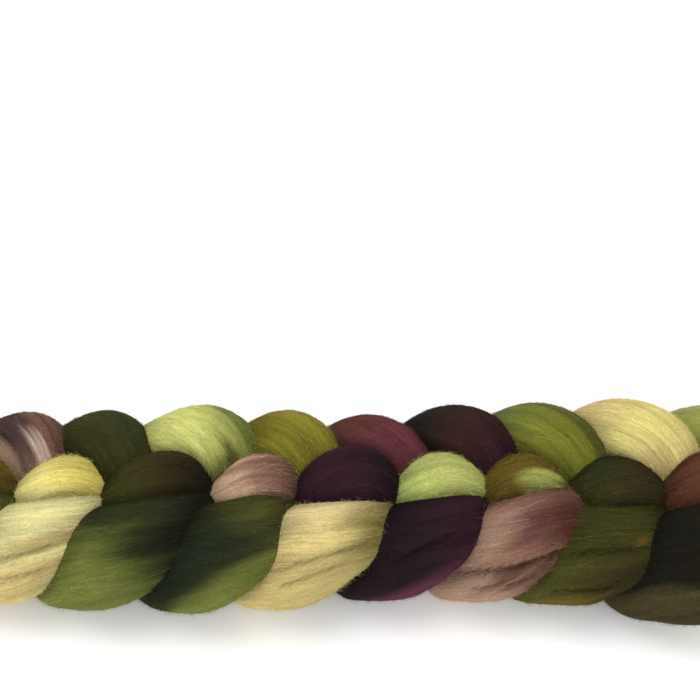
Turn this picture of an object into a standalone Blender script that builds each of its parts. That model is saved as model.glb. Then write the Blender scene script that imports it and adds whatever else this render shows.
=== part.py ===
"""A chain-braided length of thick wool roving, lying on a flat surface.

One continuous strand of combed top is looped through itself like a crochet chain. Each bight climbs the
far side (the far leg), crosses behind the row of bumps (the head), comes down the near side (the near
leg), turns under, rises through the hole and arches over as a small middle bump. Both loose ends lie
straight out on the surface. The braid runs along X, the near side faces -Y, and the bumps face up.
"""

import bmesh
import bpy
import numpy as np

PITCH = 0.038            # one bight of the chain, along X
STATION_STEP = 0.10      # spacing of the rings along the strand, in pitches
RING_SIDES = 20          # points round the strand
SPAN_SAMPLES = 12        # curve samples between two control rows
SMOOTH_PASSES = 4        # rounds of easing over the strand's centre line
TURN_PASSES = 25         # rounds of easing over the strand's facing
FLOOR_SINK = 0.15        # how far the strand's lowest turns are pressed flat, in pitches
FUSE_GRAIN = 0.0019      # grain at which touching turns are fused into one body
FACE_SHARE = 0.095       # share of the fused body's faces that is kept
FOOT_SNAP = 0.0004       # faces this near the surface are made level with it
SLIVER = 0.00002         # edges shorter than this are closed up

# One bight. dx is measured from the bight's own joint on the centre line, in its own pitches where it is
# negative and in plain pitches where it is positive; y, z, half_wide and half_thick are in plain pitches;
# face_x, face_y and face_z give the way the strand's flat side faces.
# side: 1 follows the far leg's fullness, -1 the near leg's, 0 the bump's.
BIGHT_COLUMNS = ("name", "side", "dx", "y", "z", "half_wide", "half_thick", "face_x", "face_y", "face_z")
BIGHT_ROWS = (
    ("far_under", 1, -1.18, 0.40, 0.41, 0.42, 0.33, -0.4, 0.40, -0.80),
    ("far_low", 1, -1.00, 0.70, 0.54, 0.44, 0.36, -0.5, 0.95, 0.00),
    ("far_middle", 1, -0.34, 0.86, 1.01, 0.54, 0.42, -0.35, 0.42, 0.84),
    ("far_top", 1, 0.15, 0.46, 1.18, 0.46, 0.39, -0.2, 0.50, 0.85),
    ("head", 0, 0.14, 0.00, 0.88, 0.36, 0.33, 0.5, 0.00, 0.85),
    ("near_top", -1, -0.27, -0.41, 1.23, 0.38, 0.36, 0.2, -0.50, 0.85),
    ("near_middle", -1, -0.93, -0.57, 1.02, 0.50, 0.43, -0.30, -0.42, 0.85),
    ("near_low", -1, -1.49, -0.50, 0.66, 0.40, 0.38, -0.4, -0.95, 0.15),
    ("near_under", -1, -1.56, -0.34, 0.43, 0.42, 0.33, -0.4, -0.40, -0.80),
    ("turn", 0, -1.30, -0.10, 0.60, 0.38, 0.32, -0.8, 0.00, 0.00),
    ("rise", 0, -0.93, -0.12, 0.97, 0.35, 0.33, -0.8, 0.00, 0.60),
    ("bump", 0, -0.42, 0.09, 1.30, 0.39, 0.36, 0.0, 0.00, 1.00),
    ("dive", 0, -0.04, 0.03, 0.98, 0.36, 0.34, 0.8, 0.00, 0.60),
    ("down", 0, -0.05, 0.16, 0.60, 0.38, 0.32, 0.8, 0.00, -0.20),
)

# Each bight's joint along X, how much further out or higher its three lobes stand, how far its near leg
# lies along X, how far that leg leans back from its foot to its top, how far its top has slipped down, and
# how far its bump lies along X, in pitches.
JOINT_COLUMNS = ("joint_x", "far_out", "near_out", "bump_up", "near_dx", "near_lean", "near_drop", "bump_dx")
JOINT_ROWS = (
    (-4.50, 0.02, 0.00, 0.03, 0.00, 0.00, 0.00, 0.00),
    (-3.57, -0.06, 0.04, -0.05, -0.02, 0.03, 0.00, 0.00),
    (-2.68, -0.04, -0.02, -0.03, 0.06, 0.06, 0.05, 0.05),
    (-1.53, 0.01, 0.04, 0.05, 0.12, 0.05, 0.00, 0.07),
    (-0.62, -0.04, 0.09, 0.00, -0.03, 0.05, 0.00, 0.09),
    (0.42, -0.09, 0.03, 0.11, 0.02, 0.11, 0.03, 0.04),
    (1.37, 0.02, -0.05, 0.00, 0.07, 0.10, 0.00, 0.00),
    (2.29, 0.04, -0.04, -0.01, 0.10, 0.11, -0.06, -0.07),
    (3.30, 0.07, -0.01, -0.09, 0.02, 0.17, 0.16, -0.09),
    (4.35, 0.00, 0.18, 0.04, 0.12, 0.15, 0.00, 0.00),
    (5.30, -0.03, 0.05, 0.00, 0.00, 0.00, 0.00, 0.00),
)
# The share of its leg's lean that each control row of a near leg takes.
NEAR_LEAN = {"near_top": -1.0, "near_middle": -0.15, "near_low": 0.7, "near_under": 0.7}
DROP_SHARE = 0.7         # how much of a near leg's drop goes outward and how much down
JOINT_BEFORE = -5.45     # where the joint before the first bight would be

# The two loose ends: dx from the first or the last joint, in pitches; the rest as in a bight.
TAIL_COLUMNS = ("dx", "y", "z", "half_wide", "half_thick", "face_x", "face_y", "face_z")
START_TAIL_ROWS = (
    (-3.10, -0.06, 0.33, 0.16, 0.12, 0.0, 0.0, 1.0),
    (-2.95, -0.04, 0.34, 0.30, 0.20, 0.0, 0.0, 1.0),
    (-2.60, 0.02, 0.38, 0.42, 0.26, 0.0, 0.0, 1.0),
    (-2.10, 0.12, 0.42, 0.46, 0.31, 0.0, 0.1, 1.0),
    (-1.70, 0.26, 0.45, 0.44, 0.32, -0.2, 0.5, 0.5),
)
END_TAIL_ROWS = (
    (0.30, 0.14, 0.44, 0.40, 0.31, 0.6, 0.0, 0.6),
    (0.75, 0.06, 0.43, 0.44, 0.31, 0.0, 0.0, 1.0),
    (1.30, -0.06, 0.40, 0.46, 0.29, 0.0, 0.0, 1.0),
    (1.75, -0.10, 0.37, 0.40, 0.25, 0.0, 0.0, 1.0),
    (2.05, -0.08, 0.34, 0.28, 0.19, 0.0, 0.0, 1.0),
    (2.20, -0.07, 0.33, 0.14, 0.11, 0.0, 0.0, 1.0),
)

# The wool pressed together in the braid's middle, where the turns cross: a plain oval run along X.
CORE_COLUMNS = ("x", "y", "z", "half_wide", "half_thick")
CORE_ROWS = (
    (-5.35, 0.10, 0.66, 0.24, 0.20),
    (-5.15, 0.06, 0.74, 0.42, 0.32),
    (-4.80, 0.02, 0.80, 0.54, 0.40),
    (4.90, 0.02, 0.80, 0.54, 0.40),
    (5.20, 0.02, 0.78, 0.44, 0.34),
    (5.40, 0.02, 0.76, 0.26, 0.22),
)


def clear_scene():
    for thing in list(bpy.data.objects):
        bpy.data.objects.remove(thing, do_unlink=True)


def control_rows():
    """Every control row of the strand in order: x, y, z, half_wide, half_thick, face_x, face_y, face_z."""
    rows = []
    first = JOINT_ROWS[0][0]
    for dx, *rest in START_TAIL_ROWS:
        rows.append((first + dx, *rest))
    before = JOINT_BEFORE
    for joint, far_out, near_out, bump_up, near_dx, near_lean, near_drop, bump_dx in JOINT_ROWS:
        own_pitch = joint - before
        for name, side, dx, y, z, wide, thick, face_x, face_y, face_z in BIGHT_ROWS:
            shift = near_dx * (side < 0) + near_lean * NEAR_LEAN.get(name, 0.0)
            shift += bump_dx * (name == "bump")
            x = joint + (dx * own_pitch if dx < 0 else dx) + shift
            out = {1: far_out, -1: near_out, 0: 0.0}[side]
            rise = bump_up if name == "bump" else 0.4 * out * (side != 0)
            drop = DROP_SHARE * near_drop * (name == "near_top")
            place = (x, y + side * out - drop, z + rise - drop)
            rows.append((*place, wide + 0.4 * out, thick, face_x, face_y, face_z))
        before = joint
    last = JOINT_ROWS[-1][0]
    for dx, *rest in END_TAIL_ROWS:
        rows.append((last + dx, *rest))
    return np.array(rows)


def through_points(rows, samples):
    """A smooth curve through the rows, every column carried along with the position."""
    padded = np.vstack([2 * rows[0] - rows[1], rows, 2 * rows[-1] - rows[-2]])
    t = np.linspace(0, 1, samples, endpoint=False)[:, None]
    spans = []
    for i in range(1, len(padded) - 2):
        before, start, end, after = padded[i - 1:i + 3]
        slope = (end - before) * t
        bend = (2 * before - 5 * start + 4 * end - after) * t * t
        twist = (3 * start - before - 3 * end + after) * t ** 3
        spans.append(start + 0.5 * (slope + bend + twist))
    spans.append(padded[-2][None])
    return np.vstack(spans)


def eased(values, passes):
    for _ in range(passes):
        values[1:-1] = 0.25 * values[:-2] + 0.5 * values[1:-1] + 0.25 * values[2:]
    return values


def unit(vectors):
    return vectors / np.linalg.norm(vectors, axis=1)[:, None]


def square_to(vectors, along):
    return unit(vectors - (vectors * along).sum(axis=1)[:, None] * along)


def strand_stations():
    """Evenly spaced stations of the strand: centre, half sizes, across direction, facing direction."""
    curve = through_points(control_rows(), SPAN_SAMPLES)
    length = np.r_[0, np.cumsum(np.linalg.norm(np.diff(curve[:, :3], axis=0), axis=1))]
    even = np.linspace(0, length[-1], int(length[-1] / STATION_STEP) + 1)
    held = np.stack([np.interp(even, length, column) for column in curve.T], axis=1)
    centre = eased(held[:, :3], SMOOTH_PASSES)
    along = unit(np.gradient(centre, axis=0))
    facing = eased(square_to(held[:, 5:8], along), TURN_PASSES)
    facing = square_to(facing, along)
    across = np.cross(along, facing)
    return centre, held[:, 3:5], across, facing


def tube_faces(count, sides, base):
    """Faces of one closed tube of rings, whose first vertex is number base."""
    faces = []
    for i in range(count - 1):
        for j in range(sides):
            k = (j + 1) % sides
            near, far = base + i * sides, base + (i + 1) * sides
            faces.append((near + j, near + k, far + k, far + j))
    last = base + (count - 1) * sides
    faces.append(tuple(base + j for j in reversed(range(sides))))
    faces.append(tuple(last + j for j in range(sides)))
    return faces


def tube_rings(centre, half, across, facing):
    """Oval rings about a line of stations."""
    angle = np.linspace(0, 2 * np.pi, RING_SIDES, endpoint=False)
    wide = half[:, 0, None, None] * np.cos(angle)[None, :, None] * across[:, None, :]
    thick = half[:, 1, None, None] * np.sin(angle)[None, :, None] * facing[:, None, :]
    return centre[:, None, :] + wide + thick


def wound_mesh():
    """The strand as one closed tube and the core as another, crossing freely, in metres."""
    strand = tube_rings(*strand_stations())
    rows = np.array(CORE_ROWS)
    level = np.tile((0.0, 1.0, 0.0), (len(rows), 1))
    upright = np.tile((0.0, 0.0, 1.0), (len(rows), 1))
    core = tube_rings(rows[:, :3], rows[:, 3:5], level, upright)
    points = np.vstack([strand.reshape(-1, 3), core.reshape(-1, 3)]) * PITCH
    faces = tube_faces(len(strand), RING_SIDES, 0)
    faces += tube_faces(len(core), RING_SIDES, strand.shape[0] * RING_SIDES)
    mesh = bpy.data.meshes.new("wound")
    mesh.from_pydata(points.tolist(), [], faces)
    tidy = bmesh.new()
    tidy.from_mesh(mesh)
    bmesh.ops.recalc_face_normals(tidy, faces=tidy.faces)
    tidy.to_mesh(mesh)
    tidy.free()
    return mesh


def with_modifier(mesh, kind, **settings):
    """The mesh that one modifier makes of another."""
    holder = bpy.data.objects.new("holder", mesh)
    bpy.context.scene.collection.objects.link(holder)
    modifier = holder.modifiers.new("step", kind)
    for key, value in settings.items():
        setattr(modifier, key, value)
    graph = bpy.context.evaluated_depsgraph_get()
    made = bpy.data.meshes.new_from_object(holder.evaluated_get(graph))
    bpy.data.objects.remove(holder, do_unlink=True)
    return made


def outer_shell(mesh):
    """Only the outermost closed skin, so that no pocket is sealed inside."""
    skin = bmesh.new()
    skin.from_mesh(mesh)
    left = set(skin.verts)
    groups = []
    while left:
        front = [left.pop()]
        group = set(front)
        while front:
            vertex = front.pop()
            for edge in vertex.link_edges:
                other = edge.other_vert(vertex)
                if other in left:
                    left.remove(other)
                    group.add(other)
                    front.append(other)
        groups.append(group)
    largest = max(groups, key=len)
    spare = [vertex for vertex in skin.verts if vertex not in largest]
    bmesh.ops.delete(skin, geom=spare, context="VERTS")
    skin.to_mesh(mesh)
    skin.free()
    return mesh


def vertex_array(mesh):
    flat = np.empty(3 * len(mesh.vertices))
    mesh.vertices.foreach_get("co", flat)
    return flat.reshape(-1, 3)


def set_vertices(mesh, points):
    mesh.vertices.foreach_set("co", points.reshape(-1))
    mesh.update()


def press_flat(mesh):
    """The lowest turns pressed level, and the body moved to stand on Z = 0 over the origin."""
    points = vertex_array(mesh)
    floor = points[:, 2].min() + FLOOR_SINK * PITCH
    points[:, 2] = np.maximum(points[:, 2] - floor, 0.0)
    points[:, :2] -= 0.5 * (points[:, :2].min(axis=0) + points[:, :2].max(axis=0))
    set_vertices(mesh, points)
    return mesh


def level_feet(mesh):
    points = vertex_array(mesh)
    points[points[:, 2] < FOOT_SNAP, 2] = 0.0
    points[:, :2] -= 0.5 * (points[:, :2].min(axis=0) + points[:, :2].max(axis=0))
    set_vertices(mesh, points)
    return mesh


def triangulated(mesh):
    skin = bmesh.new()
    skin.from_mesh(mesh)
    bmesh.ops.triangulate(skin, faces=skin.faces)
    bmesh.ops.dissolve_degenerate(skin, dist=SLIVER, edges=skin.edges)
    bmesh.ops.triangulate(skin, faces=skin.faces)
    for face in skin.faces:
        face.smooth = True
    skin.to_mesh(mesh)
    skin.free()
    return mesh


def wool_material():
    wool = bpy.data.materials.new("wool")
    wool.use_nodes = True
    shader = wool.node_tree.nodes["Principled BSDF"]
    shader.inputs["Base Color"].default_value = (0.30, 0.31, 0.13, 1.0)
    shader.inputs["Roughness"].default_value = 0.9
    return wool


def build_braid():
    fused = with_modifier(
        wound_mesh(), "REMESH", mode="VOXEL", voxel_size=FUSE_GRAIN, adaptivity=0.0
    )
    pressed = press_flat(outer_shell(fused))
    light = with_modifier(pressed, "DECIMATE", decimate_type="COLLAPSE", ratio=FACE_SHARE)
    mesh = triangulated(level_feet(light))
    mesh.name = "roving_braid"
    mesh.materials.clear()
    mesh.materials.append(wool_material())
    braid = bpy.data.objects.new("roving_braid", mesh)
    bpy.context.scene.collection.objects.link(braid)
    return braid


clear_scene()
build_braid()
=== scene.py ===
"""Looks for the chain-braided wool roving: the strand as soft combed fibre, dyed along its length."""

import math
from collections import namedtuple

import bpy
import numpy as np
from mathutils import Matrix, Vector
from mathutils.bvhtree import BVHTree


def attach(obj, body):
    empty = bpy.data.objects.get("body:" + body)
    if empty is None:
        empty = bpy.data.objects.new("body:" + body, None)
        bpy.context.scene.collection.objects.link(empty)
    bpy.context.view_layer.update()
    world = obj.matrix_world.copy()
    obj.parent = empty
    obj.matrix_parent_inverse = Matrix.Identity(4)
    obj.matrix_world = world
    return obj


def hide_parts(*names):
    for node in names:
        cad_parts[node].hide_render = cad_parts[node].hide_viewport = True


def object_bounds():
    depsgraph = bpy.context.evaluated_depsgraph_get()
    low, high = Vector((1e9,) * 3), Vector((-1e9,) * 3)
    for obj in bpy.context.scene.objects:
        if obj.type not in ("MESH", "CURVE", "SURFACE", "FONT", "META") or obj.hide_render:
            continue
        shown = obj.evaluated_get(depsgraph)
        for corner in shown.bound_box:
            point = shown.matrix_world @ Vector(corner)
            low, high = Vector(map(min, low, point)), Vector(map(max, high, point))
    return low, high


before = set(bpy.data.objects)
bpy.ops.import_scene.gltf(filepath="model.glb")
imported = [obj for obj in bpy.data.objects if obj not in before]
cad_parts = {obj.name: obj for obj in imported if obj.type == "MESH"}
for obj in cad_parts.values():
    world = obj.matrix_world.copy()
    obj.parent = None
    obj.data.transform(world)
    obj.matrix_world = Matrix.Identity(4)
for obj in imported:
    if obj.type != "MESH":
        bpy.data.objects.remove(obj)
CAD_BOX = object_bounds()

NODE = "roving_braid"

# ---------------------------------------------------------------- the strand's route, as in the solid
PITCH = 0.038            # one bight of the chain, along X, in metres
STATION_STEP = 0.08      # spacing of the rings along the strand, in pitches
RING_SIDES = 88          # points round the strand
SPAN_SAMPLES = 12        # curve samples between two control rows
SMOOTH_REACH = 0.20      # how far the centre line is eased, in pitches
TURN_REACH = 0.50        # how far the strand's facing is eased, in pitches
FLOOR_SINK = 0.15        # how far the strand's lowest turns are pressed flat, in pitches

# One bight of the chain as control rows in the strand's order, in pitches from the bight's joint: its far
# leg (side 1), the head that joins the legs, its near leg (side -1) and the bump on top. A dx under 0 is
# in the bight's own pitch. Columns: name, side, dx, y, z, half_wide, half_thick, face_x, face_y, face_z.
BIGHT_ROWS = (
    ("far_under", 1, -1.18, 0.40, 0.41, 0.42, 0.33, -0.4, 0.40, -0.80),
    ("far_low", 1, -1.00, 0.70, 0.54, 0.44, 0.36, -0.5, 0.95, 0.00),
    ("far_middle", 1, -0.34, 0.86, 1.01, 0.54, 0.42, -0.35, 0.42, 0.84),
    ("far_top", 1, 0.15, 0.46, 1.18, 0.46, 0.39, -0.2, 0.50, 0.85),
    ("head", 0, 0.14, 0.00, 0.88, 0.36, 0.33, 0.5, 0.00, 0.85),
    ("near_top", -1, -0.27, -0.41, 1.23, 0.38, 0.36, 0.2, -0.50, 0.85),
    ("near_middle", -1, -0.93, -0.57, 1.02, 0.50, 0.43, -0.30, -0.42, 0.85),
    ("near_low", -1, -1.49, -0.50, 0.66, 0.40, 0.38, -0.4, -0.95, 0.15),
    ("near_under", -1, -1.56, -0.34, 0.43, 0.42, 0.33, -0.4, -0.40, -0.80),
    ("turn", 0, -1.30, -0.10, 0.60, 0.38, 0.32, -0.8, 0.00, 0.00),
    ("rise", 0, -0.93, -0.12, 0.97, 0.35, 0.33, -0.8, 0.00, 0.60),
    ("bump", 0, -0.42, 0.09, 1.30, 0.39, 0.36, 0.0, 0.00, 1.00),
    ("dive", 0, -0.04, 0.03, 0.98, 0.36, 0.34, 0.8, 0.00, 0.60),
    ("down", 0, -0.05, 0.16, 0.60, 0.38, 0.32, 0.8, 0.00, -0.20),
)
ROWS_PER_BIGHT = len(BIGHT_ROWS)
# Each bight's joint along X and how the bight departs from the rows above, in pitches: how full its far
# leg, near leg and bump are, how its near leg is shifted, leans and slips down, and its bump's shift.
# Columns: joint_x, far_out, near_out, bump_up, near_dx, near_lean, near_drop, bump_dx.
JOINT_ROWS = (
    (-4.50, 0.02, 0.00, 0.03, 0.00, 0.00, 0.00, 0.00),
    (-3.57, -0.06, 0.04, -0.05, -0.02, 0.03, 0.00, 0.00),
    (-2.68, -0.04, -0.02, -0.03, 0.06, 0.06, 0.05, 0.05),
    (-1.53, 0.01, 0.04, 0.05, 0.12, 0.05, 0.00, 0.07),
    (-0.62, -0.04, 0.09, 0.00, -0.03, 0.05, 0.00, 0.09),
    (0.42, -0.09, 0.03, 0.11, 0.02, 0.11, 0.03, 0.04),
    (1.37, 0.02, -0.05, 0.00, 0.07, 0.10, 0.00, 0.00),
    (2.29, 0.04, -0.04, -0.01, 0.10, 0.11, -0.06, -0.07),
    (3.30, 0.07, -0.01, -0.09, 0.02, 0.17, 0.16, -0.09),
    (4.35, 0.00, 0.18, 0.04, 0.12, 0.15, 0.00, 0.00),
    (5.30, -0.03, 0.05, 0.00, 0.00, 0.00, 0.00, 0.00),
)
JOINT_BEFORE = -5.45     # where a joint before the first one would be
# How much of a near leg's lean each of its control rows takes.
NEAR_LEAN = {"near_top": -1.0, "near_middle": -0.15, "near_low": 0.7, "near_under": 0.7}
DROP_SHARE = 0.7         # how far a near leg's drop takes its top outward, and as far down
OUT_RISE = 0.4           # how far a fuller leg rises, as a share of how far it stands out
OUT_WIDTH = 0.4          # and how far its half width grows
# The loose ends, from the first and the last joint. Columns: dx, then those of the rows above from y on.
START_TAIL_ROWS = (
    (-3.10, -0.06, 0.33, 0.16, 0.12, 0.0, 0.0, 1.0),
    (-2.95, -0.04, 0.34, 0.30, 0.20, 0.0, 0.0, 1.0),
    (-2.60, 0.02, 0.38, 0.42, 0.26, 0.0, 0.0, 1.0),
    (-2.10, 0.12, 0.42, 0.46, 0.31, 0.0, 0.1, 1.0),
    (-1.70, 0.26, 0.45, 0.44, 0.32, -0.2, 0.5, 0.5),
)
END_TAIL_ROWS = (
    (0.30, 0.14, 0.44, 0.40, 0.31, 0.6, 0.0, 0.6),
    (0.75, 0.06, 0.43, 0.44, 0.31, 0.0, 0.0, 1.0),
    (1.30, -0.06, 0.40, 0.46, 0.29, 0.0, 0.0, 1.0),
    (1.75, -0.10, 0.37, 0.40, 0.25, 0.0, 0.0, 1.0),
    (2.05, -0.08, 0.34, 0.28, 0.19, 0.0, 0.0, 1.0),
    (2.20, -0.07, 0.33, 0.14, 0.11, 0.0, 0.0, 1.0),
)
# The wool that fills the middle of the braid. Columns: x, y, z, half_wide, half_thick.
CORE_ROWS = (
    (-5.35, 0.10, 0.66, 0.24, 0.20),
    (-5.15, 0.06, 0.74, 0.42, 0.32),
    (-4.80, 0.02, 0.80, 0.54, 0.40),
    (4.90, 0.02, 0.80, 0.54, 0.40),
    (5.20, 0.02, 0.78, 0.44, 0.34),
    (5.40, 0.02, 0.76, 0.26, 0.22),
)
CORE_FILL = 0.92         # how much of those half measures it takes
CORE_STATIONS = 120
CORE_SIDES = 32
CORE_DYE = "forest"

# ---------------------------------------------------------------- dyes
DYES = {                 # as they look in the studio's light, sRGB, 0 to 255
    "cream": (228, 218, 154),
    "custard": (242, 230, 146),
    "buff": (224, 205, 144),
    "sand": (196, 177, 117),
    "primrose": (212, 200, 122),
    "butter": (216, 200, 104),
    "flax": (172, 157, 102),
    "pear": (184, 186, 108),
    "apple": (198, 214, 117),
    "lime": (178, 186, 104),
    "leaf": (146, 150, 78),
    "moss": (104, 110, 52),
    "grass": (105, 107, 38),
    "olive": (126, 120, 42),
    "khaki": (112, 101, 30),
    "reed": (118, 108, 58),
    "gold": (98, 81, 30),
    "fern": (74, 74, 34),
    "thyme": (56, 56, 23),
    "forest": (43, 47, 23),
    "loden": (47, 46, 18),
    "pine": (29, 35, 22),
    "soot": (26, 24, 17),
    "peat": (60, 54, 33),
    "bark": (48, 41, 20),
    "silver": (176, 154, 138),
    "blush": (218, 184, 150),
    "dusty": (158, 128, 107),
    "rose": (138, 102, 84),
    "umber": (102, 73, 60),
    "smoke": (62, 46, 44),
    "chestnut": (80, 47, 38),
    "mauve": (84, 51, 51),
    "berry": (86, 44, 49),
    "plum": (80, 42, 58),
    "wine": (48, 26, 34),
    "ink": (31, 22, 26),
    "maroon": (50, 29, 26),
    "rust": (88, 55, 38),
}
DYE_SHARE = 0.80         # all dyes are darkened to this, because the studio's light is brighter than 1

# Each bight's dyes on its far leg, near leg and bump. Columns: the dye where the lobe comes into sight
# along the strand, at its middle, and where it goes out of sight.
FAR_DYES = (
    ("moss", "olive", "fern"),
    ("smoke", "rose", "rose"),
    ("thyme", "loden", "thyme"),
    ("pear", "pear", "leaf"),
    ("khaki", "olive", "olive"),
    ("chestnut", "berry", "berry"),
    ("soot", "maroon", "wine"),
    ("moss", "grass", "grass"),
    ("sand", "primrose", "sand"),
    ("leaf", "leaf", "moss"),
    ("chestnut", "rose", "umber"),
)
NEAR_DYES = (
    ("sand", "cream", "sand"),
    ("fern", "moss", "forest"),
    ("cream", "cream", "sand"),
    ("forest", "moss", "moss"),
    ("fern", "forest", "thyme"),
    ("sand", "sand", "sand"),
    ("wine", "ink", "ink"),
    ("umber", "rose", "dusty"),
    ("thyme", "thyme", "fern"),
    ("soot", "soot", "soot"),
    ("sand", "cream", "pear"),
)
BUMP_DYES = (
    ("dusty", "rose", "umber"),
    ("gold", "gold", "gold"),
    ("custard", "butter", "butter"),
    ("thyme", "bark", "soot"),
    ("blush", "rose", "umber"),
    ("wine", "wine", "ink"),
    ("apple", "pear", "lime"),
    ("gold", "gold", "gold"),
    ("thyme", "bark", "bark"),
    ("rust", "rust", "maroon"),
    ("moss", "lime", "moss"),
)
# Where along a bight's control rows each lobe's dyes sit: before it shows, its three dyes, after it shows.
FAR_STOPS = (1.0, 2.0, 2.6, 3.2, 3.9)
NEAR_STOPS = (4.3, 4.8, 5.5, 6.5, 8.2)
BUMP_STOPS = (9.4, 10.6, 11.05, 11.5, 12.4)
TAIL_DYES = ("fern", "pear")
TAIL_STOPS = (-4.0, 2.0)  # control rows from the first bight's start and the last one's end

# Places where another dye was laid on: the bight, counted from 0, the control row and the place across
# the strand (-1 to 1) of its middle, how far it reaches in rows and across, how sharp its border is, and
# its dye. A later patch covers an earlier one.
PATCH_ROWS = (
    (1, 2.75, 0.50, 0.60, 0.30, 0.8, "dusty"),
    (1, 2.45, -0.02, 0.75, 0.48, 1.0, "smoke"),
    (1, 2.80, -0.66, 0.90, 0.34, 0.8, "umber"),
    (1, 3.06, -0.12, 0.40, 0.08, 0.8, "silver"),
    (1, 3.06, 0.03, 0.42, 0.06, 0.7, "silver"),
    (1, 3.10, -0.28, 0.28, 0.05, 0.6, "silver"),
    (2, 2.60, -0.40, 0.50, 0.30, 0.8, "forest"),
    (2, 5.00, -0.17, 0.22, 0.13, 0.8, "dusty"),
    (2, 5.25, -0.10, 0.45, 0.22, 0.8, "sand"),
    (2, 5.90, -0.70, 0.90, 0.30, 0.8, "sand"),
    (3, 2.85, -0.80, 0.80, 0.52, 0.9, "moss"),
    (3, 3.40, 0.10, 0.25, 0.70, 0.8, "fern"),
    (3, 5.00, 0.15, 0.66, 1.15, 1.0, "forest"),
    (3, 5.70, 0.85, 0.62, 0.60, 0.9, "forest"),
    (3, 4.90, -0.30, 0.42, 0.85, 0.8, "pine"),
    (3, 4.82, 0.20, 0.30, 0.60, 0.6, "soot"),
    (4, 5.30, -0.95, 0.90, 0.45, 0.8, "moss"),
    (4, 5.80, 0.20, 0.55, 0.55, 0.6, "pine"),
    (4, 6.35, -0.10, 0.60, 0.50, 0.7, "pine"),
    (4, 6.10, -1.00, 0.60, 0.40, 0.8, "moss"),
    (4, 10.95, 0.15, 0.28, 0.50, 0.6, "rose"),
    (5, 5.70, 0.75, 0.75, 0.50, 0.6, "buff"),
    (5, 5.60, -0.90, 0.70, 0.45, 0.6, "flax"),
    (5, 4.88, -0.16, 0.34, 0.60, 0.7, "reed"),
    (6, 5.80, -1.00, 1.40, 0.36, 0.8, "plum"),
    (7, 5.36, 0.20, 0.30, 0.42, 0.8, "mauve"),
    (7, 4.92, -0.10, 0.30, 0.60, 0.6, "chestnut"),
    (7, 5.85, 0.35, 0.40, 0.35, 0.6, "dusty"),
    (7, 6.40, -0.55, 0.50, 0.50, 0.8, "dusty"),
    (7, 5.58, -0.74, 0.42, 0.18, 1.0, "umber"),
    (7, 6.00, -0.45, 0.38, 0.13, 0.9, "umber"),
    (7, 11.35, 0.45, 0.60, 0.55, 3.5, "leaf"),
    (7, 11.60, 0.40, 0.14, 0.60, 1.2, "fern"),
    (7, 2.60, -0.80, 0.80, 0.30, 0.8, "fern"),
    (8, 5.09, -0.02, 0.07, 0.10, 0.6, "gold"),
    (8, 5.60, -0.75, 0.60, 0.45, 0.5, "bark"),
    (8, 6.60, -0.90, 0.50, 0.30, 0.5, "gold"),
    (8, 10.80, -0.40, 0.25, 0.50, 0.8, "forest"),
    (9, 7.50, -1.38, 2.00, 1.56, 12.0, "peat"),
    (9, 5.80, -0.90, 1.40, 0.62, 4.0, "peat"),
)

PATCH_BACK = -0.6        # how far round the strand a patch reaches, as the sine of the angle
PATCH_WANDER = 0.05      # how far a patch's border wanders across the strand
PATCH_WANDER_REACH = (1.5, 0.8)  # across in ring points, along in pitches

# Splits between the fibres: the bight, counted from 0, the control rows a split starts and ends at, its
# places across the strand there (-1 to 1), and its depth and half width in pitches.
SPLIT_ROWS = (
    (2, 4.95, 6.40, -0.34, 0.06, 0.045, 0.024),
    (2, 5.15, 6.60, -0.80, -0.16, 0.036, 0.024),
    (2, 5.05, 6.00, 0.10, 0.30, 0.014, 0.020),
    (4, 4.90, 5.80, 0.60, 0.60, 0.015, 0.018),
    (5, 4.90, 6.25, -0.34, -0.08, 0.034, 0.020),
    (5, 5.10, 6.30, -0.62, -0.35, 0.032, 0.022),
    (6, 5.00, 6.10, -0.14, -0.14, 0.034, 0.026),
    (7, 4.90, 6.70, -0.95, 0.12, 0.085, 0.026),
    (7, 5.45, 6.60, -1.00, -0.28, 0.034, 0.022),
    (8, 4.95, 6.15, -0.14, 0.12, 0.040, 0.022),
    (8, 4.95, 5.75, 0.22, 0.40, 0.018, 0.020),
    (8, 5.40, 6.70, -0.88, -0.30, 0.045, 0.028),
    (9, 5.60, 6.75, -0.45, 0.24, 0.035, 0.026),
    (9, 5.60, 6.90, -0.85, -0.50, 0.030, 0.026),
    (8, 1.80, 3.40, 0.10, 0.20, 0.022, 0.020),
    (8, 1.80, 3.40, 0.50, 0.52, 0.022, 0.020),
    (8, 2.20, 3.40, -0.35, -0.20, 0.018, 0.020),
    (7, 1.80, 3.40, 0.00, 0.05, 0.020, 0.020),
    (7, 1.80, 3.40, -0.45, -0.35, 0.022, 0.020),
    (1, 2.00, 3.60, 0.28, 0.28, 0.035, 0.030),
    (1, 2.00, 3.60, -0.60, -0.50, 0.030, 0.024),
    (3, 2.20, 3.40, -0.62, -0.50, 0.022, 0.022),
    (0, 5.00, 6.60, -0.40, -0.10, 0.040, 0.024),
    (1, 5.00, 6.60, -0.60, -0.30, 0.040, 0.024),
    (10, 5.00, 6.60, -0.50, -0.20, 0.040, 0.024),
)
SPLIT_WANDER = 0.02      # how far a split wanders across the strand
SPLIT_WANDER_REACH = (8.0, 0.8)  # across in ring points, along in pitches
SPLIT_FADE = 0.25        # the share of its length over which it fades at each end
SPLIT_FACE = 0.3         # it fades towards the strand's back within this sine of the angle
DEEP_SPLIT = 0.05        # the depth in pitches at which a split's painted shade is as dark as it gets
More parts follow.
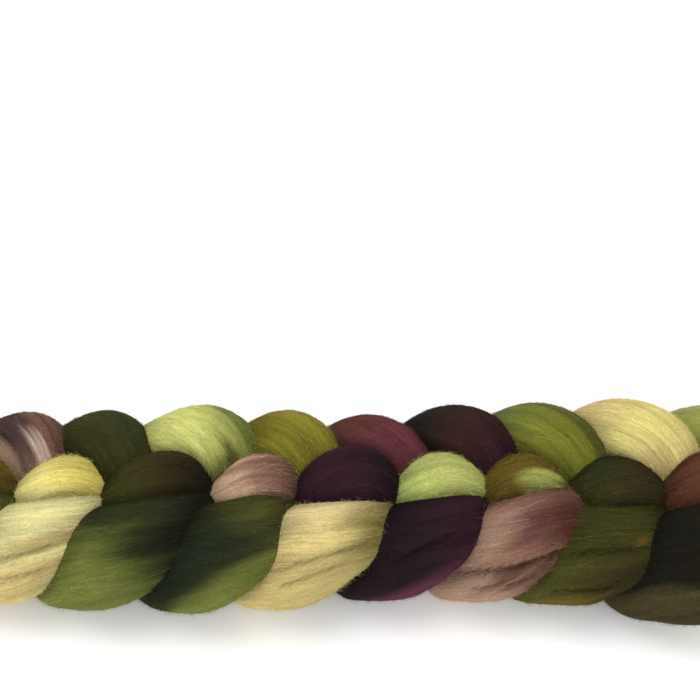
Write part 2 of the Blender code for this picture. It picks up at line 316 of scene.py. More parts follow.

# ---------------------------------------------------------------- relief and fibres
SECTION_POWER = 2.25     # 2 is an oval; more is fuller at the shoulders
FACE_CROWDING = 0.30     # how much closer the points stand on the facing side
LEG_TWIST = 0.42         # how far the fibres wind round a near leg, in radians a control row
TWIST_ROWS = (4.3, 4.7, 6.6, 7.0)  # where on it that starts, is whole, wanes and ends
TIP_THICK = 0.3          # the half thickness in pitches below which the relief fades, at the tips
RELIEF_BANDS = (         # depth in pitches; reach across in ring points, reach along in pitches
    (0.010, 9.0, 0.50),
    (0.0012, 2.2, 0.60),
    (0.0007, 0.9, 0.30),
)
STREAK_BANDS = (         # how much lighter or darker the locks are; reach across, reach along
    (0.05, 0.7, 0.5),
    (0.05, 2.0, 0.9),
    (0.05, 6.0, 0.5),
)
SHIFT_BANDS = (          # how far the dyes run along the fibres, in rows; reach across, reach along
    (0.07, 2.2, 1.0),
    (0.05, 0.8, 0.7),
)
FIBRE_GIRTH = 0.45       # the radius in pitches round which the fibres' texture is wrapped
FIBRE_WANDER = 0.05      # how far the fibres wander round the strand, in radians
FIBRE_WANDER_REACH = (6.0, 0.6)  # across in ring points, along in pitches
PARTING_ROW = -0.8       # where the strand is parted into pieces, in rows from a bight's first
# Painted shade: the dyes are darkened where other turns come close and down in the splits.
SHADE_REACH = 0.016      # how near another turn must be to shade the wool, in metres
SHADE_START = 0.0006     # how far off the wool that is looked for, in metres
SHADE_RAYS = 16
SHADE_STEP = 2           # every second station and ring point is looked at
SHADE_PASSES = 2         # and the result is smoothed so often
SHADE_POWER = 2.7        # how dark the painted shade makes the wool where turns meet
SPLIT_SHADE = 0.55       # and how dark the painted shade makes the wool down in a deep split
HAIR_SHADE = 0.28        # how much of both painted shades the loose fibres take, as a power
GOLDEN_ANGLE = 2.39996   # turns evenly spread rays, in radians
INSIDE_START = 0.0003    # how far off its own surface a spot looks for other wool, in metres
INSIDE_REACH = 0.04      # and how far out, in metres
CREASE_CROWDING = 3.0    # how much thicker the fuzz is beside a crease than in the open
CREASE_PASSES = 8        # how far from the crease, in passes of smoothing
HAIR_LOWEST = 0.002      # no hair roots are nearer the surface that the braid rests on, in metres
HAIR_UNDER = (1.4, 2.0)  # the share of hairs on faces that look down: this much, and more by the normal's z
HAIR_ENDS = (6, 8)       # stations without hair at the strand's two tips
HAIR_TAPER = 0.6         # how much thinner a hair is at its tip
FUZZ_CURVE = 1.3         # how late along a hair that stands off it rises, as a power
COMBED_SINK = 0.0001     # how deep a lying hair's ends are in the wool, in metres
HAIR_CLEARANCE = 0.0003  # how far every hair stays over the floor, in metres
PIECE_TRIANGLES = 180000
SEED = 11

# The loose single fibres: the piece's name, how many, how crowded they are beside a crease, the points
# along one, its length in metres, the spread of its direction and of its bend in radians, the lift of its
# tip or, where it lies on the wool, of its middle in metres, its radius in metres, how much lighter or
# darker it is against dark wool below, partly its own tone and partly painted light, and whether it lies.
Hair = namedtuple("Hair", "name count crowding steps length slant bend lift radius lightness lies")
HAIRS = (
    Hair("combed_hairs", 8000, 0.0, 4, (0.005, 0.013), 0.20, 0.25,
         (0.00012, 0.00050), (0.000035, 0.000060), (0.80, 3.80), True),
    Hair("short_fuzz", 140000, CREASE_CROWDING, 2, (0.0008, 0.0034), 1.50, 0.00,
         (0.0003, 0.0022), (0.000034, 0.000062), (1.10, 3.00), False),
    Hair("curled_fuzz", 3000, CREASE_CROWDING, 4, (0.0030, 0.0070), 1.50, 1.20,
         (0.0008, 0.0034), (0.000030, 0.000050), (1.00, 3.00), False),
    Hair("flying_hairs", 700, 0.0, 6, (0.006, 0.014), 0.80, 0.70,
         (0.0006, 0.0024), (0.000022, 0.000030), (0.90, 1.30), False),
)

# ---------------------------------------------------------------- the studio
CAMERA_SPOT = (0.0, -4.953, 8.349)   # in the route's pitches
CAMERA_PITCH = 44.8                  # degrees below level
CAMERA_LENS = 41.14                  # millimetres
CAMERA_SENSOR = 36.0                 # millimetres
# Soft round lights that look at the braid's middle: name, place and size in metres, and power in watts.
LIGHT_ROWS = (
    ("key", (-0.30, 0.05, 1.25), 0.9, 7.0),
    ("fill", (0.10, -1.10, 0.65), 1.0, 4.0),
)
SKY_STRENGTH = 1.2
FLOOR_HALF = 6.0         # half the floor's side, in metres
FLOOR_GAP = 0.0003       # how far the floor lies below the braid, in metres


def control_rows():
    """Every control row of the strand in order: x, y, z, half_wide, half_thick, face_x, face_y, face_z."""
    rows = []
    first = JOINT_ROWS[0][0]
    for dx, *rest in START_TAIL_ROWS:
        rows.append((first + dx, *rest))
    before = JOINT_BEFORE
    for joint, far_out, near_out, bump_up, near_dx, near_lean, near_drop, bump_dx in JOINT_ROWS:
        own_pitch = joint - before
        for name, side, dx, y, z, wide, thick, face_x, face_y, face_z in BIGHT_ROWS:
            shift = near_dx * (side < 0) + near_lean * NEAR_LEAN.get(name, 0.0)
            shift += bump_dx * (name == "bump")
            x = joint + (dx * own_pitch if dx < 0 else dx) + shift
            out = {1: far_out, -1: near_out, 0: 0.0}[side]
            rise = bump_up if name == "bump" else OUT_RISE * out * (side != 0)
            drop = DROP_SHARE * near_drop * (name == "near_top")
            place = (x, y + side * out - drop, z + rise - drop)
            rows.append((*place, wide + OUT_WIDTH * out, thick, face_x, face_y, face_z))
        before = joint
    last = JOINT_ROWS[-1][0]
    for dx, *rest in END_TAIL_ROWS:
        rows.append((last + dx, *rest))
    return np.array(rows)


def through_points(rows, samples):
    """A smooth curve through the rows, every column carried along with the position."""
    padded = np.vstack([2 * rows[0] - rows[1], rows, 2 * rows[-1] - rows[-2]])
    t = np.linspace(0, 1, samples, endpoint=False)[:, None]
    spans = []
    for i in range(1, len(padded) - 2):
        before, start, end, after = padded[i - 1:i + 3]
        slope = (end - before) * t
        bend = (2 * before - 5 * start + 4 * end - after) * t * t
        twist = (3 * start - before - 3 * end + after) * t ** 3
        spans.append(start + 0.5 * (slope + bend + twist))
    spans.append(padded[-2][None])
    return np.vstack(spans)


def eased(values, reach):
    """Values eased along the strand over a reach in pitches."""
    for _ in range(max(1, round((reach / STATION_STEP) ** 2))):
        values[1:-1] = 0.25 * values[:-2] + 0.5 * values[1:-1] + 0.25 * values[2:]
    return values


def unit(vectors):
    return vectors / np.linalg.norm(vectors, axis=-1, keepdims=True)


def square_to(vectors, along):
    return unit(vectors - (vectors * along).sum(axis=1)[:, None] * along)


class Strand:
    """Evenly spaced stations of the strand: its length so far, control row, centre, directions, half width
    and half thickness, all in pitches, and how far its fibres have wound round it, in radians."""

    def __init__(self):
        curve = through_points(control_rows(), SPAN_SAMPLES)
        length = np.r_[0, np.cumsum(np.linalg.norm(np.diff(curve[:, :3], axis=0), axis=1))]
        even = np.linspace(0, length[-1], int(length[-1] / STATION_STEP) + 1)
        held = np.stack([np.interp(even, length, column) for column in curve.T], axis=1)
        self.length = even
        row = np.arange(len(curve)) / SPAN_SAMPLES
        self.row = np.interp(even, length, row) - len(START_TAIL_ROWS)
        self.centre = eased(held[:, :3], SMOOTH_REACH)
        self.along = unit(np.gradient(self.centre, axis=0))
        facing = eased(square_to(held[:, 5:8], self.along), TURN_REACH)
        self.facing = square_to(facing, self.along)
        self.across = np.cross(self.along, self.facing)
        self.half = held[:, 3:5]
        near = np.interp(self.row % ROWS_PER_BIGHT, TWIST_ROWS, (0.0, 1.0, 1.0, 0.0))
        self.turn = np.cumsum(near * LEG_TWIST * np.gradient(self.row))


def soft_noise(draw, shape, across, along):
    """Smooth noise of unit spread over stations and ring points, long along the strand."""
    field = np.fft.rfft2(draw.standard_normal(shape))
    f_along = np.fft.fftfreq(shape[0])[:, None]
    f_across = np.fft.rfftfreq(shape[1])[None, :]
    reach = (f_along * along / STATION_STEP) ** 2 + (f_across * across) ** 2
    field *= np.exp(-2 * np.pi ** 2 * reach)
    made = np.fft.irfft2(field, s=shape)
    return made / made.std()


def summed_noise(draw, shape, bands):
    return sum(depth * soft_noise(draw, shape, across, along) for depth, across, along in bands)


def linear(colour):
    """An sRGB colour, 0 to 255, as linear light."""
    share = np.asarray(colour, float) / 255
    return np.where(share <= 0.04045, share / 12.92, ((share + 0.055) / 1.055) ** 2.4)


def smooth_step(value):
    value = np.clip(value, 0, 1)
    return value * value * (3 - 2 * value)


def ring_angles():
    angle = np.linspace(0, 2 * np.pi, RING_SIDES, endpoint=False)
    return angle + FACE_CROWDING * np.cos(angle)


def along_fibres(strand, values):
    """A map laid over the strand so that it follows the winding of the fibres."""
    side = np.arange(RING_SIDES)[None, :] + strand.turn[:, None] * RING_SIDES / (2 * np.pi)
    left = np.floor(side).astype(int)
    mix = side - left
    station = np.arange(len(values))[:, None]
    here, beside = values[station, left % RING_SIDES], values[station, (left + 1) % RING_SIDES]
    return here * (1 - mix) + beside * mix


def blurred(grid, passes):
    """Ring-point values smoothed over their neighbours round the strand and along it."""
    for _ in range(passes):
        grid = 0.5 * grid + 0.25 * (np.roll(grid, 1, axis=1) + np.roll(grid, -1, axis=1))
        grid[1:-1] = 0.5 * grid[1:-1] + 0.25 * (grid[:-2] + grid[2:])
    return grid


def dye_map(strand, draw):
    """The dye at each ring point: the lobes' stops along the strand, then the patches, both running a
    little along the fibres."""
    rows, names = [TAIL_STOPS[0]], [TAIL_DYES[0]]
    for bight in range(len(JOINT_ROWS)):
        for stops, dyes in ((FAR_STOPS, FAR_DYES), (NEAR_STOPS, NEAR_DYES), (BUMP_STOPS, BUMP_DYES)):
            start, middle, end = dyes[bight]
            rows += [bight * ROWS_PER_BIGHT + stop for stop in stops]
            names += [start, start, middle, end, end]
    rows.append(len(JOINT_ROWS) * ROWS_PER_BIGHT + TAIL_STOPS[1])
    names.append(TAIL_DYES[1])
    shape = (len(strand.row), RING_SIDES)
    place = strand.row[:, None] + along_fibres(strand, summed_noise(draw, shape, SHIFT_BANDS))
    stops = np.array([linear(DYES[name]) for name in names])
    colour = np.stack([np.interp(place, rows, column) for column in stops.T], axis=-1)
    wander = PATCH_WANDER * along_fibres(strand, soft_noise(draw, shape, *PATCH_WANDER_REACH))
    across = np.cos(ring_angles())[None, :] + wander
    faces_out = (np.sin(ring_angles()) > PATCH_BACK)[None, :, None]
    for bight, row, middle, half_rows, half_across, edge, dye in PATCH_ROWS:
        off_row = (place - bight * ROWS_PER_BIGHT - row) / half_rows
        far = np.hypot(off_row, (across - middle) / half_across)
        mix = smooth_step(0.5 + edge * (1 - far))[..., None] * faces_out
        colour = colour * (1 - mix) + linear(DYES[dye]) * mix
    streak = along_fibres(strand, summed_noise(draw, shape, STREAK_BANDS))
    return np.clip(colour * DYE_SHARE * (1 + streak)[..., None], 0, 1)


def split_map(strand, draw):
    """How deep each ring point lies in a split between the fibres, in pitches."""
    shape = (len(strand.row), RING_SIDES)
    place = np.cos(ring_angles())[None, :]
    facing = smooth_step(np.sin(ring_angles()) / SPLIT_FACE)[None, :]
    wander = SPLIT_WANDER * soft_noise(draw, shape, *SPLIT_WANDER_REACH)
    splits = np.zeros(shape)
    for bight, first, last, start, end, depth, half_wide in SPLIT_ROWS:
        local = (strand.row - bight * ROWS_PER_BIGHT - first) / (last - first)
        fade = smooth_step(local / SPLIT_FADE) * smooth_step((1 - local) / SPLIT_FADE)
        centre = start + (end - start) * np.clip(local, 0, 1)
        gap = (place + wander - centre[:, None]) * strand.half[:, 0, None] / half_wide
        splits += depth * fade[:, None] * facing * np.exp(-gap ** 2)
    return splits


def relief_map(strand, draw):
    """How far each ring point stands out, in pitches: soft lumps and locks of fibre."""
    return along_fibres(strand, summed_noise(draw, (len(strand.row), RING_SIDES), RELIEF_BANDS))


def ring_points(strand, relief):
    """Every ring point in pitches: a full oval section with its relief."""
    angles = ring_angles()
    cos, sin = np.cos(angles), np.sin(angles)
    power = 2 / SECTION_POWER
    wide = np.sign(cos) * np.abs(cos) ** power
    thick = np.sign(sin) * np.abs(sin) ** power
    out_x = cos[None, :] * strand.half[:, 1, None]
    out_z = sin[None, :] * strand.half[:, 0, None]
    size = np.hypot(out_x, out_z)
    ease = smooth_step(strand.half[:, 1] / TIP_THICK)[:, None]
    x = strand.half[:, 0, None] * wide[None, :] + relief * ease * out_x / size
    z = strand.half[:, 1, None] * thick[None, :] + relief * ease * out_z / size
    return (
        strand.centre[:, None, :]
        + x[..., None] * strand.across[:, None, :]
        + z[..., None] * strand.facing[:, None, :]
    )


def to_frame(points, floor, middle):
    """Route pitches to metres over the solid, with nothing below the surface that it rests on."""
    placed = (points - (middle[0], middle[1], floor)) * PITCH
    cad_middle = 0.5 * (CAD_BOX[0] + CAD_BOX[1])
    placed[..., 0] += cad_middle.x
    placed[..., 1] += cad_middle.y
    return placed


def mesh_object(name, points, faces, material, smooth=True):
    mesh = bpy.data.meshes.new(name)
    mesh.from_pydata(points.tolist(), [], faces)
    mesh.polygons.foreach_set("use_smooth", [smooth] * len(mesh.polygons))
    mesh.materials.append(material)
    mesh.update()
    made = bpy.data.objects.new(name, mesh)
    bpy.context.scene.collection.objects.link(made)
    return made


def add_dye(piece, colour):
    """The dye at each vertex, as linear colour, with any painted shade and painted light that was put into
    it.
    """
    rgba = np.concatenate([colour, np.ones(colour.shape[:-1] + (1,))], axis=-1)
    layer = piece.data.attributes.new("dye", "FLOAT_COLOR", "POINT")
    layer.data.foreach_set("color", rgba.astype(np.float32).reshape(-1))


def add_fibre(piece, place):
    """Each vertex's place along and round the combed fibres, in metres, for the streaks to follow."""
    layer = piece.data.attributes.new("fibre", "FLOAT_VECTOR", "POINT")
    layer.data.foreach_set("vector", place.astype(np.float32).reshape(-1))


def tube_faces(count, sides):
    """A tube's faces over its rings of points, with the two end caps last."""
    faces = []
    for i in range(count - 1):
        near, far = i * sides, (i + 1) * sides
        for j in range(sides):
            k = (j + 1) % sides
            faces.append((near + j, near + k, far + k, far + j))
    last = (count - 1) * sides
    faces.append(tuple(reversed(range(sides))))
    faces.append(tuple(last + j for j in range(sides)))
    return faces


# ---------------------------------------------------------------- materials
def new_material(name, roughness, specular):
    material = bpy.data.materials.new(name)
    material.use_nodes = True
    shader = material.node_tree.nodes["Principled BSDF"]
    shader.inputs["Roughness"].default_value = roughness
    shader.inputs["Specular IOR Level"].default_value = specular
    return material, material.node_tree.nodes, material.node_tree.links, shader


def attribute_node(nodes, name):
    node = nodes.new("ShaderNodeAttribute")
    node.attribute_name = name
    return node


# Noise along the combed fibres: its name, its scale along and across them, per metre, its detail, and how
# dark and how light it makes the dye.
FIBRE_NOISES = (
    ("fine", 160.0, 2400.0, 3.0, 0.80, 1.20),
    ("broad", 70.0, 700.0, 2.0, 0.86, 1.14),
    ("nap", 1500.0, 2000.0, 3.0, 0.82, 1.18),
)
NOISE_ROUGHNESS = 0.6
NOISE_RANGE = (0.3, 0.7)  # the noise values that make the dye darkest and lightest
WOOL_SHEEN = 0.25
SHEEN_ROUGHNESS = 0.5
BUMP_STRENGTH = 0.45
BUMP_DEPTH = 0.0006       # metres


def wool_material():
    """Combed wool: the dye with its painted shade, fine streaks along the fibres and a felted nap over
    them, with a soft sheen of the dye's own colour and a fibrous bump."""
    material, nodes, links, shader = new_material("combed_wool", 0.95, 0.05)
    shader.inputs["Sheen Weight"].default_value = WOOL_SHEEN
    shader.inputs["Sheen Roughness"].default_value = SHEEN_ROUGHNESS
    dye = attribute_node(nodes, "dye")
    fibre = attribute_node(nodes, "fibre")

    def fibre_noise(along, across, detail):
        scaled = nodes.new("ShaderNodeMapping")
        scaled.inputs["Scale"].default_value = (along, across, across)
        noise = nodes.new("ShaderNodeTexNoise")
        noise.inputs["Scale"].default_value = 1.0
        noise.inputs["Detail"].default_value = detail
        noise.inputs["Roughness"].default_value = NOISE_ROUGHNESS
        links.new(fibre.outputs["Vector"], scaled.inputs["Vector"])
        links.new(scaled.outputs["Vector"], noise.inputs["Vector"])
        return noise.outputs["Fac"]

    def spread(source, least, most):
        ranged = nodes.new("ShaderNodeMapRange")
        ranged.inputs["From Min"].default_value = NOISE_RANGE[0]
        ranged.inputs["From Max"].default_value = NOISE_RANGE[1]
        ranged.inputs["To Min"].default_value = least
        ranged.inputs["To Max"].default_value = most
        links.new(source, ranged.inputs["Value"])
        return ranged.outputs["Result"]

    def joined(operation, first, second):
        math_node = nodes.new("ShaderNodeMath")
        math_node.operation = operation
        links.new(first, math_node.inputs[0])
        links.new(second, math_node.inputs[1])
        return math_node.outputs["Value"]

    noises = {row[0]: fibre_noise(*row[1:4]) for row in FIBRE_NOISES}
    tones = {row[0]: spread(noises[row[0]], *row[4:]) for row in FIBRE_NOISES}
    streaks = joined("MULTIPLY", tones["fine"], tones["broad"])
    heights = joined("ADD", noises["fine"], noises["broad"])
    tone = nodes.new("ShaderNodeVectorMath")
    tone.operation = "SCALE"
    links.new(dye.outputs["Color"], tone.inputs[0])
    links.new(joined("MULTIPLY", streaks, tones["nap"]), tone.inputs["Scale"])
    links.new(tone.outputs["Vector"], shader.inputs["Base Color"])
    links.new(tone.outputs["Vector"], shader.inputs["Sheen Tint"])
    bump = nodes.new("ShaderNodeBump")
    bump.inputs["Strength"].default_value = BUMP_STRENGTH
    bump.inputs["Distance"].default_value = BUMP_DEPTH
    links.new(joined("ADD", heights, noises["nap"]), bump.inputs["Height"])
    links.new(bump.outputs["Normal"], shader.inputs["Normal"])
    return material


def fibre_material():
    material, nodes, links, shader = new_material("single_fibre", 0.9, 0.08)
    # The loose fibres' colour: their dye with painted light and a weaker share of the painted shade.
    links.new(attribute_node(nodes, "dye").outputs["Color"], shader.inputs["Base Color"])
    return material


def floor_material():
    material, nodes, links, shader = new_material("pale_floor", 0.9, 0.1)
    shader.inputs["Base Color"].default_value = (0.95, 0.95, 0.95, 1.0)
    return material


# ---------------------------------------------------------------- pieces
def build_strand(strand, points, dyes, draw, material):
    """The strand in one piece per bight, parted inside the braid where nothing shows."""
    fibre = np.empty(points.shape)
    fibre[..., 0] = strand.length[:, None] * PITCH
    wander = FIBRE_WANDER * soft_noise(draw, points.shape[:2], *FIBRE_WANDER_REACH)
    turn = ring_angles()[None, :] + strand.turn[:, None] + wander
    fibre[..., 1] = np.cos(turn) * FIBRE_GIRTH * PITCH
    fibre[..., 2] = np.sin(turn) * FIBRE_GIRTH * PITCH
    parted = [0]
    for bight in range(1, len(JOINT_ROWS)):
        parted.append(int(np.searchsorted(strand.row, bight * ROWS_PER_BIGHT + PARTING_ROW)))
    parted.append(len(strand.row) - 1)
    made = []
    for number, (first, last) in enumerate(zip(parted[:-1], parted[1:]), start=1):
        part = slice(first, last + 1)
        faces = tube_faces(last + 1 - first, RING_SIDES)
        piece = mesh_object(f"bight_{number:02d}", points[part].reshape(-1, 3), faces, material)
        # The dyes here carry the painted shade.
        add_dye(piece, dyes[part])
        add_fibre(piece, fibre[part])
        made.append(piece)
    return made


def build_core(floor, middle, material):
    """Plain dark wool in the middle of the braid, seen only between its turns."""
    rows = np.array(CORE_ROWS)
    stations = np.linspace(rows[0, 0], rows[-1, 0], CORE_STATIONS)
    held = np.stack([np.interp(stations, rows[:, 0], column) for column in rows.T], axis=1)
    angle = np.linspace(0, 2 * np.pi, CORE_SIDES, endpoint=False)
    ring = np.zeros((CORE_STATIONS, CORE_SIDES, 3))
    ring[..., 0] = held[:, 0, None]
    ring[..., 1] = held[:, 1, None] + held[:, 3, None] * CORE_FILL * np.cos(angle)
    ring[..., 2] = held[:, 2, None] + held[:, 4, None] * CORE_FILL * np.sin(angle)
    placed = to_frame(ring, floor, middle)
    faces = tube_faces(CORE_STATIONS, CORE_SIDES)
    piece = mesh_object("inner_wool", placed.reshape(-1, 3), faces, material)
    add_dye(piece, np.tile(linear(DYES[CORE_DYE]), (CORE_STATIONS * CORE_SIDES, 1)))
    add_fibre(piece, placed)
    return piece


def surface_at(grid, station, side):
    """Grid values between the ring points: station and side may be fractions."""
    station = np.clip(station, 0, len(grid) - 1.001)  # just short of the last station
    low, left = np.floor(station).astype(int), np.floor(side).astype(int)
    up, along = (station - low)[..., None], (side - left)[..., None]
    left, right = left % RING_SIDES, (left + 1) % RING_SIDES
    near = grid[low, left] * (1 - along) + grid[low, right] * along
    far = grid[low + 1, left] * (1 - along) + grid[low + 1, right] * along
    return near * (1 - up) + far * up


def outward_normals(points, centre):
    ahead = np.gradient(points, axis=0)
    around = np.roll(points, -1, axis=1) - np.roll(points, 1, axis=1)
    normal = unit(np.cross(around, ahead))
    outward = points - centre[:, None, :]
    return normal * np.sign((normal * outward).sum(axis=-1, keepdims=True))


def strand_tree(points):
    """The strand's skin without its end caps, for rays."""
    skin = tube_faces(len(points), RING_SIDES)[:-2]
    return BVHTree.FromPolygons(points.reshape(-1, 3).tolist(), skin)


def shade_map(points, normals, tree):
    """How open each ring point is, from 0 where turns meet to 1: other wool close by shades it, and this is
    painted into the dyes as shade.
    """
    turn = np.arange(SHADE_RAYS) * GOLDEN_ANGLE
    rise = 1 - (np.arange(SHADE_RAYS) + 0.5) / SHADE_RAYS
    flat = np.sqrt(1 - rise ** 2)
    stations = np.arange(0, len(points), SHADE_STEP)
    sides = np.arange(0, RING_SIDES, SHADE_STEP)
    spots, out = points[stations][:, sides], normals[stations][:, sides]
    first = unit(np.cross(out, np.array((0.3, 0.2, 0.9))))  # any way that is square to out
    second = np.cross(out, first)
    hidden = np.zeros(spots.shape[:2])
    for cos, sin, up in zip(flat * np.cos(turn), flat * np.sin(turn), rise):
        ways = cos * first + sin * second + up * out
        starts = spots + out * SHADE_START
        for i in range(len(stations)):
            for j in range(len(sides)):
                found = tree.ray_cast(Vector(starts[i, j]), Vector(ways[i, j]), SHADE_REACH)[3]
                if found is not None:
                    hidden[i, j] += up * (1 - found / SHADE_REACH) ** 2
    coarse = blurred(1 - hidden / rise.sum(), SHADE_PASSES)
    every = np.arange(len(points))
    full = np.stack([np.interp(every, stations, column) for column in coarse.T], axis=1)
    wrapped = np.hstack([full, full[:, :1]])
    places = np.arange(RING_SIDES) / SHADE_STEP
    low = np.floor(places).astype(int)
    return wrapped[:, low] * (1 - places + low) + wrapped[:, low + 1] * (places - low)


def inside_wool(tree, spot, out):
    """Whether a spot on the strand lies within another turn: the first wool met on the way out is left
    through, not entered."""
    face_out = tree.ray_cast(spot + out * INSIDE_START, out, INSIDE_REACH)[1]
    return face_out is not None and face_out.dot(out) > 0


def hidden_map(points, normals, tree):
    """Which ring points lie within another turn."""
    hidden = np.zeros(points.shape[:2], bool)
    for i in range(len(points)):
        for j in range(RING_SIDES):
            hidden[i, j] = inside_wool(tree, Vector(points[i, j]), Vector(normals[i, j]))
    return hidden


def hair_spots(points, normals, tree, hidden, draw, count, crowding):
    """Random places on the wool in the open, as stations and sides, crowded beside the creases."""
    beside = blurred(hidden.astype(float), CREASE_PASSES)
    corners = hidden.astype(int) + np.roll(hidden, -1, axis=1)
    buried = corners[:-1] + corners[1:]
    ahead = np.linalg.norm(np.diff(points, axis=0), axis=-1)
    around = np.linalg.norm(np.roll(points, -1, axis=1) - points, axis=-1)[:-1]
    shown = (buried < 4) * smooth_step(HAIR_UNDER[0] + HAIR_UNDER[1] * normals[:-1, :, 2])
    high_enough = points[:-1, :, 2] > HAIR_LOWEST
    share = ahead * around * (1 + crowding * beside[:-1]) * shown * high_enough
    share[:HAIR_ENDS[0]] = 0
    share[-HAIR_ENDS[1]:] = 0
    cell = draw.choice(share.size, 2 * count, p=share.ravel() / share.sum())
    station = cell // RING_SIDES + draw.random(2 * count)
    side = cell % RING_SIDES + draw.random(2 * count)
    spots, out = surface_at(points, station, side), surface_at(normals, station, side)
    found = []
    for number, bared in enumerate(buried.ravel()[cell] == 0):
        if len(found) == count:
            break
        if bared or not inside_wool(tree, Vector(spots[number]), Vector(out[number])):
            found.append(number)
    return station[found], side[found]


def hair_paths(points, normals, strand, kind, station, side, draw):
    """Centre lines of single fibres over the surface: combed ones arch along it, others rise off it."""
    count = len(station)
    t = np.linspace(0, 1, kind.steps)[None, :]
    length = draw.uniform(*kind.length, count)
    slant, bend = draw.normal(0, kind.slant, count), draw.normal(0, kind.bend, count)
    way = draw.choice((-1.0, 1.0), count)
    whole = station.astype(int)
    girth = 2 * np.pi * strand.half.mean(axis=1)[whole] * PITCH / RING_SIDES
    winding = np.gradient(strand.turn)[whole] * RING_SIDES / (2 * np.pi)
    ahead = (way * np.cos(slant) * length / (STATION_STEP * PITCH))[:, None] * t
    across = (length / girth)[:, None] * (np.sin(slant)[:, None] * t + bend[:, None] * t ** 2)
    ahead_at = station[:, None] + ahead
    across_at = side[:, None] + across - winding[:, None] * ahead
    lift = draw.uniform(*kind.lift, count)[:, None]
    lift = lift * np.sin(np.pi * t) - COMBED_SINK if kind.lies else lift * t ** FUZZ_CURVE
    path = surface_at(points, ahead_at, across_at)
    path = path + lift[..., None] * surface_at(normals, ahead_at, across_at)
    path[..., 2] = np.maximum(path[..., 2], HAIR_CLEARANCE)
    return path


def hair_triangles(steps):
    """How many triangles one hair has: two on each of three sides between rings, the tip and the cap."""
    return 6 * (steps - 2) + 4


def hair_mesh(name, path, radius, colour, material):
    """Closed three-sided threads along the paths, thinning to a point."""
    count, steps = path.shape[:2]
    along = unit(np.gradient(path, axis=1))[:, :-1]
    first = unit(np.cross(along, np.array((0.31, 0.17, 0.94))))  # any way that is square to along
    second = np.cross(along, first)
    turn = np.linspace(0, 2 * np.pi, 3, endpoint=False)
    thinner = 1 - HAIR_TAPER * np.linspace(0, 1, steps)[None, :-1]
    taper = (radius[:, None] * thinner)[..., None, None]
    ring = taper * (
        np.cos(turn)[None, None, :, None] * first[:, :, None, :]
        + np.sin(turn)[None, None, :, None] * second[:, :, None, :]
    )
    rings = (path[:, :-1, None, :] + ring).reshape(count, -1, 3)
    corners = np.concatenate([rings, path[:, -1:]], axis=1)
    tip = 3 * (steps - 1)
    one = [(2, 1, 0)] + [(tip - 3 + j, tip - 3 + (j + 1) % 3, tip) for j in range(3)]
    for i in range(steps - 2):
        for j in range(3):
            near, far = 3 * i + j, 3 * i + (j + 1) % 3
            one += [(near, far, far + 3), (near, far + 3, near + 3)]
    faces = (np.arange(count)[:, None, None] * (tip + 1) + np.array(one)).reshape(-1, 3).tolist()
    piece = mesh_object(name, corners.reshape(-1, 3), faces, material, smooth=False)
    add_dye(piece, np.repeat(colour, tip + 1, axis=0))
    return piece


def build_hairs(points, normals, tree, strand, dyes, draw, material):
    """Loose single fibres on every open face of the braid, lightest against dark wool by their own tone and
    painted light.
    """
    hidden = hidden_map(points, normals, tree)
    made = []
    for kind in HAIRS:
        station, side = hair_spots(points, normals, tree, hidden, draw, kind.count, kind.crowding)
        path = hair_paths(points, normals, strand, kind, station, side, draw)
        radius = draw.uniform(*kind.radius, len(station))
        # Painted light, with some of the fibres' own tone: hairs over dark wool are lightened most.
        lightness = draw.uniform(*kind.lightness, (len(station), 1))
        colour = surface_at(dyes, station, side)
        darkness = (1 - colour.max(axis=1, keepdims=True)) ** 2
        colour = np.clip(colour * (1 + (lightness - 1) * darkness), 0, 1)
        most = PIECE_TRIANGLES // hair_triangles(kind.steps)
        for number, begin in enumerate(range(0, len(station), most), start=1):
            part = slice(begin, begin + most)
            name = f"{kind.name}_{number}"
            made.append(hair_mesh(name, path[part], radius[part], colour[part], material))
    return made


# ---------------------------------------------------------------- stage
def build_camera(floor, middle):
    """The photo's own view of the braid."""
    data = bpy.data.cameras.new("camera")
    data.lens = CAMERA_LENS
    data.sensor_width = CAMERA_SENSOR
    camera = bpy.data.objects.new("camera", data)
    bpy.context.scene.collection.objects.link(camera)
    camera.location = to_frame(np.array(CAMERA_SPOT), floor, middle)
    camera.rotation_euler = (math.radians(90 - CAMERA_PITCH), 0, 0)
    bpy.context.scene.camera = camera


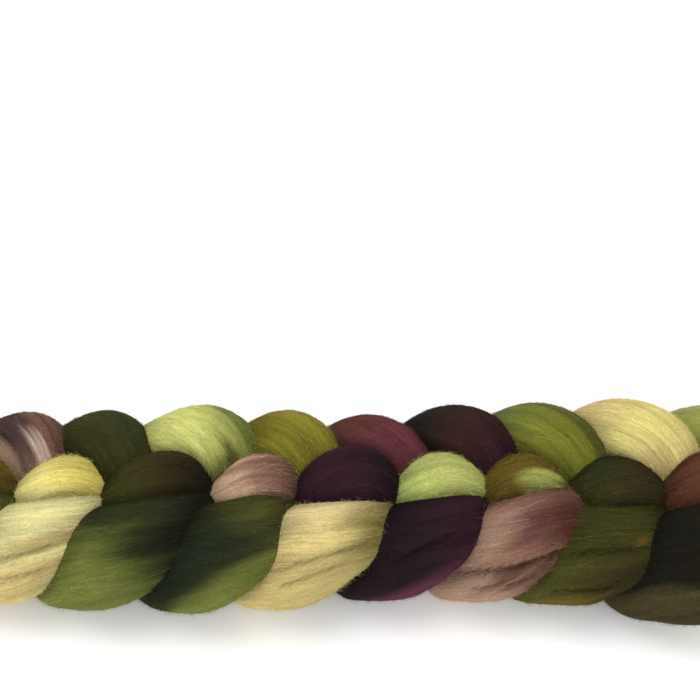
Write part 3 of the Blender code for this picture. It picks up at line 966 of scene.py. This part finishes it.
def area_light(name, spot, size, power):
    data = bpy.data.lights.new(name, "AREA")
    data.shape = "DISK"
    data.size = size
    data.energy = power
    light = bpy.data.objects.new(name, data)
    light.location = spot
    light.rotation_euler = (-Vector(spot)).to_track_quat("-Z", "Y").to_euler()
    bpy.context.scene.collection.objects.link(light)


def build_stage():
    """A pale plain floor, soft lights and a white sky."""
    corners = np.array([(-1, -1, 0), (1, -1, 0), (1, 1, 0), (-1, 1, 0)]) * FLOOR_HALF
    floor = mesh_object("floor", corners - (0, 0, FLOOR_GAP), [(0, 1, 2, 3)], floor_material())
    for name, spot, size, power in LIGHT_ROWS:
        area_light(name, spot, size, power)
    world = bpy.data.worlds.new("studio")
    world.use_nodes = True
    sky = world.node_tree.nodes["Background"]
    sky.inputs["Color"].default_value = (1.0, 1.0, 1.0, 1.0)
    sky.inputs["Strength"].default_value = SKY_STRENGTH
    bpy.context.scene.world = world
    bpy.context.scene.view_settings.view_transform = "Standard"


# ---------------------------------------------------------------- the scene
draw = np.random.default_rng(SEED)
strand = Strand()
bare = ring_points(strand, np.zeros((len(strand.row), RING_SIDES)))
low, high = bare.min(axis=(0, 1)), bare.max(axis=(0, 1))
FLOOR = low[2] + FLOOR_SINK
MIDDLE = 0.5 * (low + high)
splits = split_map(strand, draw)
shaped = to_frame(ring_points(strand, relief_map(strand, draw) - splits), FLOOR, MIDDLE)
shaped[..., 2] = np.maximum(shaped[..., 2], 0.0)
normals = outward_normals(shaped, to_frame(strand.centre, FLOOR, MIDDLE))
tree = strand_tree(shaped)
# Painted shade: the dyes are darkened where other turns come close and down in deep splits, and the loose
# fibres take a weaker share of it.
light = shade_map(shaped, normals, tree) ** SHADE_POWER
light *= 1 - SPLIT_SHADE * smooth_step(splits / DEEP_SPLIT)
bare_dyes = dye_map(strand, draw)
dyes = bare_dyes * light[..., None]
hair_dyes_with_painted_shade = bare_dyes * light[..., None] ** HAIR_SHADE
wool = wool_material()
pieces = build_strand(strand, shaped, dyes, draw, wool)
pieces.append(build_core(FLOOR, MIDDLE, wool))
pieces += build_hairs(shaped, normals, tree, strand, hair_dyes_with_painted_shade, draw, fibre_material())
for piece in pieces:
    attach(piece, "root")
    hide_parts(NODE)
build_camera(FLOOR, MIDDLE)
build_stage()
